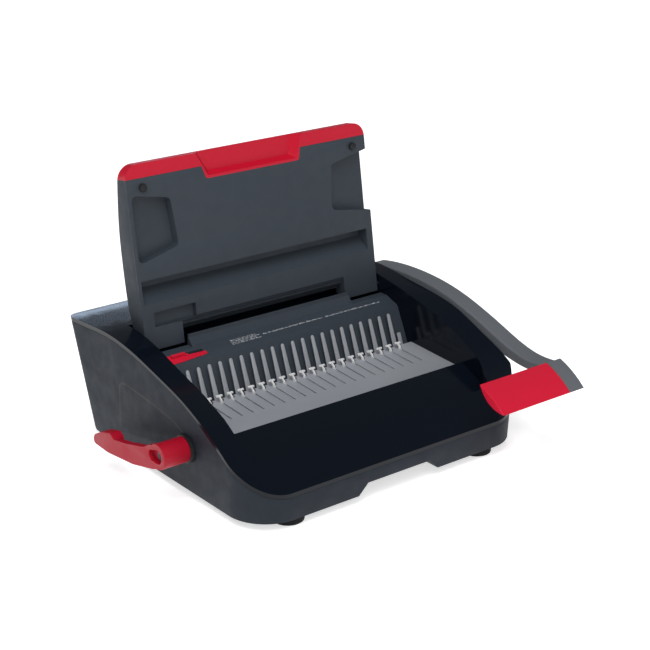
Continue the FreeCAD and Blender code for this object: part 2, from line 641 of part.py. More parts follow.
panel = panel_bar(face_line + back_line, -panel_half, panel_half)
cheek_line = [(31.5, 121.6), (31.5, 124.3), (39.4, 133.0), (lip_back, 133.0), (lip_back, 121.6)]
for side in (-1, 1):
    x0, x1 = sorted((side * lip_half, side * panel_half))
    panel = panel.cut(slab(x0 - 1 if side < 0 else x0, x1 if side < 0 else x1 + 1, 31.5, 60, 119, 160))
    panel = panel.fuse(slab(x0, x1, 30, lip_back, 121.6, 124))
    a, b = sorted((side * lip_half, side * (lip_half - 3)))
    panel = panel.fuse(panel_bar(cheek_line, a, b))
panel = panel.fuse(slab(-lip_half, lip_half, dim("lip_y"), lip_back, 118, dim("lip_top")))
guide_slot = panel_bar([(21.6, 110), (26.2, 110), (26.2, 140), (21.6, 140)], -152, -106)
panel = largest(panel.cut(guide_slot))
placed("punch_panel", panel)


def punched_plate(name, y0, y1):
    """A plate standing in the machine with a row of rectangular punch holes."""
    b = body_at(name, "0", y1, "0")
    s = outline(b, name + "Outline", "XZ_Plane", rect("-frame_x", "frame_x", "die_low", "die_top"))
    pad(b, name + "Pad", s, "(%s) - (%s)" % (y1, y0))
    x0 = "-%s - pin_w / 2 - pin_clear" % HALF_COMB
    x1 = "-%s + pin_w / 2 + pin_clear" % HALF_COMB
    s = outline(b, name + "Hole", "XZ_Plane",
                rect(x0, x1, "pin_z - pin_h / 2 - pin_clear", "pin_z + pin_h / 2 + pin_clear"))
    p = pocket(b, name + "HolePocket", s, "20")
    repeat(b, name + "HoleRow", [p], "X_Axis", "pitch", "rings")
    return keep(name, b)


punched_plate("die_plate", "throat_front - die_t", "throat_front")
punched_plate("stripper_plate", "throat_back", "throat_back + 4")
keep("throat_stop", box("ThroatStop", "-156", "156", "throat_front", "throat_back", "84", "95"))

# ---- pressure bar with its fork lugs, and the row of punch pins
pressure = body_at("pressure_bar", "0", "bar_y", "0")
s = outline(pressure, "BarOutline", "XY_Plane", rect("-bar_half", "bar_half", "0", "bar_d"), "94")
pad(pressure, "BarPad", s, "12")
fork = [("bar_d - 0.5", "97.3"), ("25.5 - roller_r - 0.2", "97.3"), ("25.5 - roller_r - 0.2", "105.6"),
        ("25.5 + roller_r + 0.2", "105.6"), ("25.5 + roller_r + 0.2", "97.3"),
        ("25.5 + roller_r + 3.2", "97.3"), ("25.5 + roller_r + 3.2", "109"), ("bar_d - 0.5", "109")]
for tag, x in (("Left", "-150"), ("Right", "143")):
    s = outline(pressure, "Fork" + tag, "YZ_Plane", fork, x)
    pad(pressure, "ForkPad" + tag, s, "7")
x0 = "-%s - pin_w / 2" % HALF_COMB
x1 = "-%s + pin_w / 2" % HALF_COMB
s = outline(pressure, "PinSeat", "XZ_Plane", rect(x0, x1, "pin_z - pin_h / 2", "pin_z + pin_h / 2"), "0")
seat = pocket(pressure, "PinSeatPocket", s, "10")
repeat(pressure, "PinSeatRow", [seat], "X_Axis", "pitch", "rings")
keep("pressure_bar", pressure)

pins = []
for i in range(int(dim("rings"))):
    x = "pitch * (%d - (rings - 1) / 2)" % i
    pins.append(box("Pin%02d" % i, x + " - pin_w / 2", x + " + pin_w / 2", "throat_front - 2.5", "bar_y + 5",
                    "pin_z - pin_h / 2", "pin_z + pin_h / 2"))
keep("punch_pins", group("PunchPins", pins))

# ---- punch shaft with its two cranks
keep("punch_shaft", rod("PunchShaft", "-187", "209", "shaft_y", "shaft_z", "shaft_r"))
sy, sz, cr = dim("shaft_y"), dim("shaft_z"), dim("crank_r")
roller_y = sy - cr * math.sin(math.radians(30))
roller_z = sz + cr * math.cos(math.radians(30))
cranks = []
for x in (-150, 143):
    for web_x in (x - 4.5, x + 8.5):
        web = x_bore(web_x, web_x + 3, sy, sz, 8.0)
        head = x_bore(web_x, web_x + 3, roller_y, roller_z, 5.2)
        block = web.fuse(head).cut(x_bore(web_x - 1, web_x + 5, sy, sz, dim("shaft_r")))
        cranks.append(block)
    pin = x_bore(x - 1.5, x + 8.5, roller_y, roller_z, dim("roller_r"))
    cranks[-2] = cranks[-2].fuse(pin).fuse(cranks[-1]).removeSplitter()
    cranks.pop()
placed("punch_cranks", Part.makeCompound(cranks))


# ---- side frames that carry both shafts, the die and the hinge of the lid
def side_frame(name, x):
    b = body_at(name, x, "0", "0")
    pts = [("-96", "floor + wall"), ("100", "floor + wall"), ("110", "24"), ("110", "112"),
           ("60", "124"), ("30", "124"), ("-40", "88"), ("-96", "76")]
    s = outline(b, name + "Outline", "YZ_Plane", pts)
    pad(b, name + "Pad", s, "frame_t")
    comb = b.newObject("Sketcher::SketchObject", name + "Bores")
    comb.AttachmentSupport = [(plane_of(b, "YZ_Plane"), "")]
    comb.MapMode = "FlatFace"
    for i, (y, z) in enumerate((("comb_y", "comb_z"), ("shaft_y", "shaft_z"))):
        centre = Vector(evaluate(y), evaluate(z), 0)
        comb.addGeometry(Part.Circle(centre, Vector(0, 0, 1), 7.0))
        for kind, text, value in (("DistanceX", y, centre.x), ("DistanceY", z, centre.y)):
            c = comb.addConstraint(Sketcher.Constraint(kind, -1, 1, i, 3, value))
            comb.setExpression("Constraints[%d]" % c, ex(text))
        comb.addConstraint(Sketcher.Constraint("Radius", i, 7.0))
    pocket(b, name + "BorePocket", comb, "20")
    s = outline(b, name + "Window", "YZ_Plane", rect("-20", "70", "30", "70"))
    pocket(b, name + "WindowPocket", s, "20")
    return keep(name, b)


side_frame("side_frame_left", "-frame_x - frame_t")
side_frame("side_frame_right", "frame_x")

bushes = []
for x in (-dim("frame_x") - dim("frame_t") - 1.5, dim("frame_x") - 1.0):
    for y, z, r in ((dim("comb_y"), dim("comb_z"), dim("comb_r")), (sy, sz, dim("shaft_r"))):
        flange = x if x < 0 else x + 3.5
        ring = x_bore(x, x + 5, y, z, 7.0).fuse(x_bore(flange, flange + 1.5, y, z, 9.0))
        bushes.append(ring.cut(x_bore(x - 1, x + 6, y, z, r + dim("run_clear"))))
placed("shaft_bushes", Part.makeCompound(bushes))

rods = []
for i, (y, z) in enumerate(((-84, 34), (100, 78), (56, 80))):
    rods.append(rod("Tie%d" % i, "-frame_x", "frame_x", str(y), str(z), "4"))
keep("frame_tie_rods", group("FrameTieRods", rods))

# ---- brackets that carry the comb plate and guide the hook carriage under it
slope_turn = Rotation(Vector(1, 0, 0), dim("slope"))
rails = []
for side in (-1, 1):
    a = slab(0, 18, -86, -6, -6.9, -4.9)
    a = a.fuse(slab(16, 40, -40, -34, -6.9, -4.9)).fuse(slab(16, 40, -12, -6, -6.9, -4.9))
    if side < 0:
        a = a.mirror(Vector(0, 0, 0), Vector(1, 0, 0))
    a.translate(Vector(side * 141.0, 0, 0))
    rails.append(a)
carrier = body_at("tine_carrier", "0", "foot_y", "foot_z", "-tine_lean")
c0 = outline(carrier, "CarrierBar", "YZ_Plane", [("tine_t / 2", "-13"), ("tine_t / 2 + 5", "-13"),
                                                 ("tine_t / 2 + 5", "-7"), ("tine_t / 2", "-7")], "-frame_x")
pad(carrier, "CarrierPad", c0, "2 * frame_x")
keep("tine_carrier", carrier)

guide = doc.addObject("Part::Feature", "hook_guides")
guide.Shape = Part.makeCompound(rails)
guide.Placement = Placement(FRAME + Vector(0, dim("foot_y"), dim("foot_z")), slope_turn)
keep("hook_guides", guide)

# ================================================================ edge guide on the strip
strip_turn = math.degrees(math.atan2(124.5 - 117.6, 32.0 - 11.8))
GUIDE_PLAN = [(-165, 1.6), (-142, 1.6), (-105, 4.4), (-103.5, 9.6), (-131, 10.8), (-140, 15.6),
              (-158, 15.6), (-155, 8.4), (-165, 6.6)]
plan = rounded([Vector(x, y, 0.1) for x, y in GUIDE_PLAN], 1.6)
edge = Part.Face(plan).extrude(Vector(0, 0, 0.7))
edge = edge.fuse(slab(-148.5, -131, 10.0, 13.2, 0.1, 4.0)).fuse(slab(-136, -126, 10.9, 13.1, -4.5, 0.6))
slider = doc.addObject("Part::Feature", "edge_guide")
slider.Shape = largest(edge.removeSplitter())
slider.Placement = Placement(FRAME + Vector(0, 11.8, 117.6), Rotation(Vector(1, 0, 0), strip_turn))
keep("edge_guide", slider)

# ================================================================ lid
LID = Placement(FRAME + Vector(0, dim("lid_py"), dim("lid_pz")), Rotation(Vector(1, 0, 0), -dim("lid_tilt")))
lh, ll, lf = dim("lid_half"), dim("lid_len"), dim("lid_face")
# outer surface of the lid, as (distance from hinge, depth behind the hinge axis)
BACK = [(-12, 11), (2, 15), (20, 21), (50, 25), (80, 25.5), (115, 24.5), (139, 22), (160, 18.5),
        (180, 14.5), (199, 9.5)]


def lid_profile(depth, low, high, inset):
    """The lid's side outline between two distances from the hinge."""
    curve = Part.BSplineCurve()
    curve.interpolate([Vector(0, y - inset, z) for z, y in BACK])
    a, b = curve.value(curve.FirstParameter), curve.value(curve.LastParameter)
    back = curve.toShape()
    rest = Part.makePolygon([b, Vector(0, b.y, 230), Vector(0, depth, 230), Vector(0, depth, -30),
                             Vector(0, a.y, -30), a])
    face = Part.Face(Part.Wire(Part.__sortEdges__([back] + rest.Edges)))
    face.translate(Vector(-lh, 0, 0))
    return face.extrude(Vector(2 * lh, 0, 0)).common(slab(-lh, lh, -60, 60, low, high))


def lid_outline(inset):
    """The lid seen from the front: rounded at the top, cut out between its two hinge blocks."""
    r = 16 - inset
    h = lh - inset
    top = ll - inset
    block = slab(-h, h, -60, 60, dim("block_low") + inset, top - r)
    block = block.fuse(slab(-h + r, h - r, -60, 60, dim("block_low") + inset, top))
    for x in (-h + r, h - r):
        block = block.fuse(Part.makeCylinder(r, 120, Vector(x, -60, top - r), Vector(0, 1, 0)))
    cut_half = dim("block_in") + inset
    block = block.cut(slab(-cut_half, cut_half, -60, 60, -40, dim("skirt_low") + inset))
    block = block.cut(x_bore(-cut_half, cut_half, 0, 0, dim("skirt_r") + inset))
    return block.cut(panel_bar([(-60, -40), (2.0, -40), (2.0, dim("lid_cut") + inset),
                                (dim("lid_face"), dim("lid_edge") + inset),
                                (-60, dim("lid_edge") + inset)], -cut_half, cut_half))


full = lid_profile(lf, dim("block_low"), ll, 0).common(lid_outline(0))
core = lid_profile(lf - 5, dim("block_low") + 2.4, ll - 2.4, 2.4).common(lid_outline(2.4))
BAND = 182.0
TRIM_CUT = slab(-200, 200, -60, 60, BAND, 300)


def lid_prism(points, radius, depth):
    """A space cut into the lid's face, as a rounded outline in (x, distance from hinge)."""
    ring = rounded([Vector(x, -60, u) for x, u in points], radius)
    return Part.Face(ring).extrude(Vector(0, 60 + lf + depth, 0))


scoop = lid_prism([(-80, ll + 25), (-62.5, 167.4), (66.5, 167.4), (77, ll + 25)], 4, 12)
panel_t = 2.4
# moulded pockets of the inner panel
pocket_left = lid_prism([(-160.5, 164.5), (-112, 155), (-107.5, 101), (-160.5, 88)], 6, 12)
pocket_right = lid_prism([(112, 155), (180, 168), (180, 89), (107.5, 101)], 6, 12)
long_recess = Part.Face(Part.makePolygon(
    [Vector(-161, lf - 1, 69.8), Vector(-161, lf + 17, 69.8), Vector(-161, lf + 17, 60),
     Vector(-161, lf - 1, 42), Vector(-161, lf - 1, 69.8)])).extrude(Vector(317, 0, 0))
small_recess = slab(-150, -95, lf - 1, lf + 7, 16.2, 33)
hollows = pocket_left.fuse(pocket_right).fuse(long_recess).fuse(small_recess)
behind = slab(-163, -105.6, -60, lf + 14.4, 86.6, 167).fuse(slab(105.6, 170, -60, lf + 14.4, 86.6, 169))
behind = behind.fuse(slab(-163, 159, -60, lf + 19.4, 39.6, 72.2))
behind = behind.fuse(slab(-152.4, -92.6, -60, lf + 9.4, 13.8, 35.4))

front_skin = full.common(slab(-200, 200, lf, lf + panel_t, -60, BAND - 0.2))
cups = behind.common(full).common(slab(-200, 200, lf, 60, -60, BAND - 0.2))
inner_panel = front_skin.fuse(cups).cut(hollows)
shell_inner = full.cut(core)
outer_shell = shell_inner.cut(slab(-200, 200, -60, lf + panel_t + 0.2, -60, BAND)).cut(TRIM_CUT)
keep_out = behind.fuse(slab(-200, 200, -60, lf + panel_t, -60, 300))
outer_shell = outer_shell.cut(keep_out)
knuckles = []
for side in (-1, 1):
    x0 = 117.6 if side > 0 else -162.4
    knuckles.append(slab(x0, x0 + 44.8, lf + panel_t, 12, -9.6, 9))
inner_panel = inner_panel.fuse(knuckles[0].common(full)).fuse(knuckles[1].common(full)).cut(hollows)
for side in (-1, 1):
    bore = x_bore(side * 157 - 15, side * 157 + 15, 0, 0, dim("lid_pin_r") + dim("run_clear"))
    inner_panel = inner_panel.cut(bore)
    outer_shell = outer_shell.cut(x_bore(side * 160 - 8, side * 160 + 8, 0, 0, dim("lid_pin_r") + 0.6))
    outer_shell = outer_shell.cut(slab(side * 140 - 22.6, side * 140 + 22.6, -60, 12.2, -9.8, 9.2))
trim = full.common(slab(-200, 200, -60, 60, BAND, 300)).fuse(full.common(scoop))
mouth = rounded([Vector(-86, lf - 1, ll + 25), Vector(-60.6, lf - 1, 170), Vector(64.6, lf - 1, 170),
                 Vector(80, lf - 1, ll + 25)], 3)
bottom = rounded([Vector(-80, lf + 9, ll + 25), Vector(-54.5, lf + 9, 175), Vector(57.5, lf + 9, 175),
                  Vector(74, lf + 9, ll + 25)], 3)
trim_scoop = Part.makeLoft([mouth, bottom], True, True)
trim = trim.cut(trim_scoop)
inner_panel = inner_panel.cut(scoop)
outer_shell = outer_shell.cut(scoop)


def lid_node(name, shape):
    f = doc.addObject("Part::Feature", name)
    f.Shape = shape
    f.Placement = LID
    return keep(name, f)


bump = []
for x in (-145, 145):
    hole = Part.makeCylinder(2.0, 20, Vector(x, lf - 5, 171), Vector(0, 1, 0))
    inner_panel = inner_panel.cut(hole)
    head = Part.makeCylinder(4.5, 3.2, Vector(x, lf - 3.2, 171), Vector(0, 1, 0))
    bump.append(head.fuse(Part.makeCylinder(2.0, 2.4, Vector(x, lf - 0.2, 171), Vector(0, 1, 0))))
lid_node("lid_inner_panel", largest(inner_panel))
lid_node("lid_outer_shell", largest(outer_shell))
lid_node("lid_red_trim", largest(trim))
lid_node("lid_bumpers", Part.makeCompound(bump))

hinge_pins = []
for tag, x0, x1 in (("L", "-seat_half - 3", "-144"), ("R", "144", "seat_half + 3")):
    hinge_pins.append(rod("HingePin" + tag, x0, x1, "lid_py", "lid_pz", "lid_pin_r"))
keep("lid_hinge_pins", group("LidHingePins", hinge_pins))

# ================================================================ punch lever
# top line of the arm, as (y, height) pairs from its rear end to the grip
ARM_TOP = [(92, 143), (64, 147), (26, 148.6), (-10, 146.8), (-46, 141.5), (-81, 132.5),
           (-115, 121.3), (-149, 109.3), (-181, 102.2), (-200, 102), (-216, 103.8)]
ARM_DEPTH = [14, 17, 18, 20, 21, 21, 19, 15, 12.5, 11.5, 9]


def band_between(top, depths):
    upper = Part.BSplineCurve()
    upper.interpolate([Vector(0, y, z) for y, z in top])
    lower = Part.BSplineCurve()
    lower.interpolate([Vector(0, y, z - d) for (y, z), d in zip(top, depths)])
    a = Part.makeLine(upper.value(upper.FirstParameter), lower.value(lower.FirstParameter))
    b = Part.makeLine(upper.value(upper.LastParameter), lower.value(lower.LastParameter))
    return Part.Face(Part.Wire(Part.__sortEdges__([upper.toShape(), a, lower.toShape(), b])))


def lens(grow=0.0):
    """Cross-section of the grip: gently domed on top and round below."""
    back = Vector(0, -213 + grow, 106.5 + grow * 0.4)
    front = Vector(0, -251.0 - grow, 83.2 - grow * 0.4)
    over_mid = Vector(0, -231.0 - grow * 0.4, 98.2 + grow)
    under_mid = Vector(0, -236.0 + grow * 0.5, 85.0 - grow)
    return Part.Face(Part.Wire([Part.Arc(back, over_mid, front).toShape(),
                                Part.Arc(front, under_mid, back).toShape()]))


ai, ao, gi, gs = dim("arm_in"), dim("arm_out"), dim("grip_in"), dim("grip_split")
arm = band_between(ARM_TOP, ARM_DEPTH)
arm.translate(Vector(ai, 0, 0))
arm = arm.extrude(Vector(ao - ai, 0, 0))
long_edges = [e for e in edges_at_x(arm, ai, ao) if e.Length > 100]
arm = arm.makeFillet(2.6, long_edges)
end = lens()
end.translate(Vector(gs, 0, 0))
end = end.extrude(Vector(ao - gs, 0, 0))
ear = slab(203.5, ao, 70, 92, 92, 140)
ear = ear.fuse(panel_bar([(90, 96), (111, 96), (92, 138), (90, 138)], 203.5, ao))
ear = ear.fuse(x_bore(203.5, ao, sy, sz, 16.0))
arm = arm.fuse(end).fuse(ear)
core_bar = slab(gi + 4, gs + 2, -237, -230, 89.8, 93)
arm = arm.fuse(core_bar)
arm = arm.cut(x_bore(200, 209, sy, sz, dim("shaft_r"))).cut(x_bore(208, 220, sy, sz, 2.5))
placed("punch_arm", largest(arm))
grip = lens()
grip.translate(Vector(gi, 0, 0))
grip = grip.extrude(Vector(gs - 0.3 - gi, 0, 0))
grip = grip.makeFillet(1.0, edges_at_x(grip, gi)).cut(arm)
placed("punch_grip", largest(grip))
hub_screw = x_bore(209, ao, sy, sz, 2.5).fuse(x_bore(ao, ao + 2.5, sy, sz, 6.0))
placed("arm_screw", hub_screw)

# ================================================================ feet and screws
feet = []
for fx in ("-foot_x", "foot_x"):
    for fy in ("foot_front", "foot_back"):
        disc = post("Foot", fx, fy, "0", "floor", "foot_r")
        stem = post("FootStem", fx, fy, "floor - 0.5", "floor + 2.9", "1.9")
        feet.append(fuse("FootSolid", [disc, stem]))
keep("rubber_feet", group("RubberFeet", feet))

doc.recompute()

# ---------------------------------------------------------------- checks and export
problems = []
for obj in doc.Objects:
    state = set(obj.State)
    if state & {"Invalid", "Error"}:
        problems.append("%s is %s" % (obj.Name, sorted(state)))
for name, obj in nodes.items():
    shape = obj.Shape
    if shape.isNull() or not shape.isValid() or not shape.Solids:
        problems.append("%s has a bad shape" % name)
        continue
    shape.exportStep("parts/%s.step" % name)
    bb = shape.BoundBox
    print("%-18s solids %2d vol %9.0f  X %7.1f %7.1f  Y %7.1f %7.1f  Z %6.1f %6.1f" % (
        name, len(shape.Solids), shape.Volume, bb.XMin, bb.XMax, bb.YMin, bb.YMax, bb.ZMin, bb.ZMax))
if problems:
    raise RuntimeError("; ".join(problems))
print("nodes", len(nodes))
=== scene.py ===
import math
import bpy
import bmesh
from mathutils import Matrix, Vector


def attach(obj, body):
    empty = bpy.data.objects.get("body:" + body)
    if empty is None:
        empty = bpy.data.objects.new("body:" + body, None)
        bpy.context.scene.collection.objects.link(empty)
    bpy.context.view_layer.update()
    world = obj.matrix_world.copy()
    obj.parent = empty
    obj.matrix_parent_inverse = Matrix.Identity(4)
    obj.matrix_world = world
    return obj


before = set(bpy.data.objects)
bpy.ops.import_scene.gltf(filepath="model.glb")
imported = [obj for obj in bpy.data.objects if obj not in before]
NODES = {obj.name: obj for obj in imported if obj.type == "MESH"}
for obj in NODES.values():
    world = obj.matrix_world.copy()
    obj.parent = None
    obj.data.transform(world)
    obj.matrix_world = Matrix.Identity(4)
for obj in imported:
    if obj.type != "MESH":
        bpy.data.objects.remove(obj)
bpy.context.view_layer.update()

DX, DY = 0.006, 0.04262          # offset of the design axes in the row frame


# ---------------------------------------------------------------- materials
def principled(name, color, rough=0.5, metallic=0.0, spec=0.5, coat=0.0, coat_rough=0.05):
    m = bpy.data.materials.new(name)
    m.use_nodes = True
    b = m.node_tree.nodes["Principled BSDF"]
    b.inputs["Base Color"].default_value = (*color, 1)
    b.inputs["Roughness"].default_value = rough
    b.inputs["Metallic"].default_value = metallic
    b.inputs["Specular IOR Level"].default_value = spec
    b.inputs["Coat Weight"].default_value = coat
    b.inputs["Coat Roughness"].default_value = coat_rough
    return m, m.node_tree, b


def noise(nt, scale, detail=3.0, rough=0.55, stretch=None):
    co = nt.nodes.new("ShaderNodeTexCoord")
    tex = nt.nodes.new("ShaderNodeTexNoise")
    tex.inputs["Scale"].default_value = scale
    tex.inputs["Detail"].default_value = detail
    tex.inputs["Roughness"].default_value = rough
    src = co.outputs["Object"]
    if stretch:
        mp = nt.nodes.new("ShaderNodeMapping")
        mp.inputs["Scale"].default_value = stretch
        nt.links.new(src, mp.inputs["Vector"])
        src = mp.outputs["Vector"]
    nt.links.new(src, tex.inputs["Vector"])
    return tex.outputs["Fac"]


def vary_roughness(nt, b, fac, low, high, smoothest, roughest):
    """Let a noise between low and high move the roughness between two values."""
    r = nt.nodes.new("ShaderNodeMapRange")
    for key, v in (("From Min", low), ("From Max", high), ("To Min", smoothest), ("To Max", roughest)):
        r.inputs[key].default_value = v
    nt.links.new(fac, r.inputs["Value"])
    nt.links.new(r.outputs["Result"], b.inputs["Roughness"])


def vary_color(nt, b, color, fac, amount):
    mix = nt.nodes.new("ShaderNodeMix")
    mix.data_type = "RGBA"
    mix.inputs["A"].default_value = (*[c * (1 - amount) for c in color], 1)
    mix.inputs["B"].default_value = (*[min(1.0, c * (1 + amount)) for c in color], 1)
    nt.links.new(fac, mix.inputs["Factor"])
    nt.links.new(mix.outputs["Result"], b.inputs["Base Color"])


def bump(nt, b, fac, strength, distance):
    n = nt.nodes.new("ShaderNodeBump")
    n.inputs["Strength"].default_value = strength
    n.inputs["Distance"].default_value = distance
    nt.links.new(fac, n.inputs["Height"])
    nt.links.new(n.outputs["Normal"], b.inputs["Normal"])


def textured_plastic(name, color, rough=0.55, grain=2600, depth=0.00003, amount=0.08, spec=0.35):
    m, nt, b = principled(name, color, rough, spec=spec)
    fine = noise(nt, grain, 2.0)
    vary_color(nt, b, color, noise(nt, 9, 2.0), amount)
    vary_roughness(nt, b, noise(nt, 60, 3.0), 0.35, 0.65, rough - 0.05, rough + 0.06)
    bump(nt, b, fine, 0.35, depth)
    return m


def gloss_plastic(name, color, rough, amount, coat, spec=0.4):
    m, nt, b = principled(name, color, rough, spec=spec, coat=coat, coat_rough=0.04)
    vary_color(nt, b, color, noise(nt, 7, 2.0), amount)
    vary_roughness(nt, b, noise(nt, 150, 4.0), 0.3, 0.7, rough * 0.92, rough * 1.12)
    bump(nt, b, noise(nt, 90, 2.0), 0.03, 0.00003)
    return m


def brushed(name, color, rough=0.3, along=(1, 60, 60), metallic=1.0, depth=0.00002):
    m, nt, b = principled(name, color, rough, metallic=metallic)
    lines = noise(nt, 90, 3.0, 0.6, along)
    vary_color(nt, b, color, lines, 0.07)
    vary_roughness(nt, b, lines, 0.3, 0.7, rough * 0.8, rough * 1.25)
    bump(nt, b, lines, 0.25, depth)
    return m


SLATE = (0.0350, 0.0440, 0.0560)
M = {
    "cover": gloss_plastic("gloss_black", (0.0028, 0.0048, 0.0092), 0.15, 0.02, 0.0, 0.26),
    "base": textured_plastic("base_charcoal", (0.0150, 0.0200, 0.0280), 0.55, amount=0.02, spec=0.18),
    "lid": textured_plastic("lid_slate", SLATE, 0.62, amount=0.03),
    "panel": textured_plastic("panel_slate", SLATE, 0.55, amount=0.03),
    "red": gloss_plastic("red_gloss", (0.60, 0.0100, 0.0350), 0.34, 0.02, 0.1),
    "red_soft": textured_plastic("red_satin", (0.50, 0.0050, 0.0240), 0.42, 2200, 0.00001, 0.02, 0.3),
    "red_deep": textured_plastic("red_deep", (0.36, 0.0042, 0.0185), 0.45, 2200, 0.00001, 0.02, 0.25),
    "arm": brushed("arm_silver", (0.190, 0.203, 0.222), 0.34, (60, 1, 60), 0.4),
    "steel": brushed("brushed_steel", (0.42, 0.43, 0.45), 0.3),
    "plate": brushed("plated_sheet", (0.45, 0.475, 0.515), 0.42, (60, 1, 60), 0.45),
    "tine": brushed("tine_steel", (0.42, 0.44, 0.47), 0.40, (60, 60, 1), 0.5),
    # partly painted highlight: plated steel given a near-white colour that stands in for the glint the
    # hooks and arm screw catch
    "bright": brushed("plating_and_painted_highlight", (0.95, 0.95, 0.95), 0.30, (1, 20, 20), 0.25, 0.000006),
    "screw": brushed("dark_screw", (0.05, 0.05, 0.055), 0.35, (1, 20, 20), 0.9, 0.000006),
    "rubber": textured_plastic("rubber", (0.010, 0.010, 0.011), 0.8, 1500, 0.00006, 0.15, 0.2),
    "black": textured_plastic("black_moulding", (0.010, 0.011, 0.013), 0.5),
    "white": textured_plastic("acetal", (0.62, 0.62, 0.60), 0.45),
    "brass": brushed("sintered_brass", (0.50, 0.36, 0.15), 0.4),
    # painted shade: a near-black for the shadow inside the wall's moulded grooves, laid on as raised
    # ribbons
    "groove_shade": textured_plastic("painted_groove_shadow", (0.0045, 0.0060, 0.0085), 0.55),
    "ink": textured_plastic("pale_ink", (0.55, 0.57, 0.60), 0.6, 1500, 0.00001, 0.04),
}
FINISH = {
    "top_cover": "cover", "base_housing": "base", "chip_tray": "base", "comb_plate": "plate",
    "comb_tines": "tine", "hook_plate": "bright", "hook_racks": "steel", "comb_pinions": "white",
    "comb_shaft": "steel", "comb_lever": "red_deep", "lever_screw": "screw", "lever_collar": "black",
    "punch_panel": "panel", "die_plate": "steel", "stripper_plate": "steel", "throat_stop": "steel",
    "pressure_bar": "plate", "punch_pins": "steel", "punch_shaft": "steel", "punch_cranks": "plate",
    "side_frame_left": "plate", "side_frame_right": "plate", "shaft_bushes": "brass",
    "frame_tie_rods": "steel", "tine_carrier": "plate", "hook_guides": "plate", "edge_guide": "red",
    "lid_inner_panel": "lid", "lid_outer_shell": "lid", "lid_red_trim": "red_soft", "lid_bumpers": "black",
    "lid_hinge_pins": "steel", "punch_arm": "arm", "punch_grip": "red", "arm_screw": "bright",
    "rubber_feet": "rubber",
}


# ---------------------------------------------------------------- edges of the CAD pieces
EDGE_WIDTH = 0.0004              # edge rounding where BEVEL names no other
BEVEL = {"lid_inner_panel": 0.0012, "lid_outer_shell": 0.0010, "punch_panel": 0.0012,
         "comb_plate": 0.0003, "hook_plate": 0.0003, "comb_lever": 0.0020, "edge_guide": 0.0003,
         "lid_bumpers": 0.0008, "rubber_feet": 0.002, "chip_tray": 0.0008}
# Curved skins, and the gears, keep their own facets: they are shaded smooth up to their sharp edges.
CURVED = {"top_cover", "punch_arm", "punch_grip", "lid_red_trim", "comb_pinions", "hook_racks"}
WELD_GAP = 0.000005
SHARP_ANGLE = math.radians(32)
FLAT_ANGLE = math.radians(0.6)
BEVEL_ANGLE = math.radians(28)


def smooth_skin(obj):
    """Smooth shading, split where faces meet at a sharp edge."""
    split = obj.modifiers.new("split", "EDGE_SPLIT")
    split.split_angle = SHARP_ANGLE
    even = obj.modifiers.new("even", "WEIGHTED_NORMAL")
    even.keep_sharp = True


def soft_edges(obj, width):
    """A small rounding along every sharp edge, after flat facets are joined."""
    flat = obj.modifiers.new("flat", "DECIMATE")
    flat.decimate_type = "DISSOLVE"
    flat.angle_limit = FLAT_ANGLE
    edge = obj.modifiers.new("edge", "BEVEL")
    edge.width = width
    edge.segments = 3
    edge.limit_method = "ANGLE"
    edge.angle_limit = BEVEL_ANGLE
    edge.use_clamp_overlap = True
    edge.harden_normals = True


def finish(obj, material):
    """Give a CAD piece its one material, and join the doubled points of its mesh."""
    obj.data.materials.clear()
    obj.data.materials.append(material)
    obj.data.shade_smooth()
    weld = obj.modifiers.new("weld", "WELD")
    weld.merge_threshold = WELD_GAP


for node, key in FINISH.items():
    finish(NODES[node], M[key])
    if node in CURVED:
        smooth_skin(NODES[node])
    else:
        soft_edges(NODES[node], BEVEL.get(node, EDGE_WIDTH))


def place(x, y, z):
    """A point in the design's millimetres, with z from the table, as a scene position."""
    return Vector((x / 1000 + DX, y / 1000 + DY, z / 1000))


def add_piece(name, bm, material):
    """Make an object from a bmesh and let it ride the housing."""
    mesh = bpy.data.meshes.new(name)
    bm.to_mesh(mesh)
    bm.free()
    o = bpy.data.objects.new(name, mesh)
    o.data.materials.append(material)
    bpy.context.scene.collection.objects.link(o)
    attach(o, "housing")
    return o


# ---------------------------------------------------------------- printed marks on the strip
STRIP_FROM, STRIP_TO = (11.8, 117.6), (32.0, 124.5)     # (y, z) of its front and back edges
STRIP_SLOPE = math.atan2(STRIP_TO[1] - STRIP_FROM[1], STRIP_TO[0] - STRIP_FROM[0])
PRINT_LIFT = 0.06


def on_strip(x, t):
    """A point just above the flat strip, t from 0 at its front edge to 1 at its back edge."""
    y = STRIP_FROM[0] + (STRIP_TO[0] - STRIP_FROM[0]) * t
    z = STRIP_FROM[1] + (STRIP_TO[1] - STRIP_FROM[1]) * t
    return place(x, y - PRINT_LIFT * math.sin(STRIP_SLOPE), z + PRINT_LIFT * math.cos(STRIP_SLOPE))


def mark(bm, x0, x1, t0, t1):
    corners = [on_strip(x, t) for x, t in ((x0, t0), (x1, t0), (x1, t1), (x0, t1))]
    bm.faces.new([bm.verts.new(c) for c in corners])


def word_row(bm, x, end, t, tall, stroke, rng):
    """A row of short strokes in groups, like a line of small print too fine to read."""
    while x < end:
        for _ in range(3 + int(rng() * 5)):
            high = tall * (0.62 + 0.38 * (rng() > 0.6))
            mark(bm, x, x + stroke * 0.45, t, t + high)
            bar_from = t + high * 0.75 * (rng() > 0.5)
            bar_to = t + high * 0.75 * (rng() > 0.5) + 0.025
            mark(bm, x, x + stroke * 0.9, bar_from, bar_to)
            x += stroke * 1.35
        x += stroke * 1.4


def sequence(seed):
    """Repeatable numbers from 0 to 1."""
    state = [seed]

    def step():
        state[0] = (state[0] * 1103515245 + 12345) % 2147483648
        return state[0] / 2147483648
    return step


